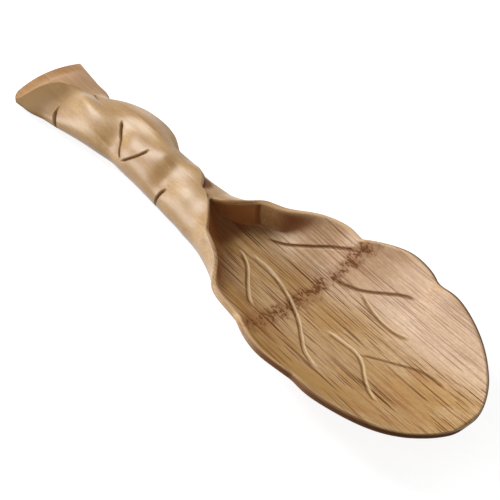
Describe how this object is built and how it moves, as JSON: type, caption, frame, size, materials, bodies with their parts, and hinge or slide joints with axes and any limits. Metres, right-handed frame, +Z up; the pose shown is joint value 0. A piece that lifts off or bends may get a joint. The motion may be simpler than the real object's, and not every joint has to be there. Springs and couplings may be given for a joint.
{
  "type": "tea scoop",
  "caption": "Carved bamboo tea scoop: a scalloped, veined leaf whose edges curl up into a throat and roll together into a solid handle with a flared, obliquely cut stem end.",
  "frame": {"origin": "under the middle of the scoop's box, on the surface that it rests on", "axes": "+X from the stem end to the leaf tip, +Y to the leaf's left-hand side seen along +X from above, +Z up out of the leaf's hollow"},
  "size_m": [0.1649, 0.0488, 0.0176],
  "materials": {
    "leaf_bamboo": "oiled, with the fibres showing",
    "node_bamboo": "oiled, dark mottled node",
    "handle_bamboo": "hand-rubbed, satin"
  },
  "bodies": {
    "root": {"leaf_blade": "leaf_bamboo", "node_band": "node_bamboo", "leaf_throat": "leaf_bamboo", "rolled_handle": "handle_bamboo", "stem_end": "handle_bamboo"}
  },
  "joints": []
}
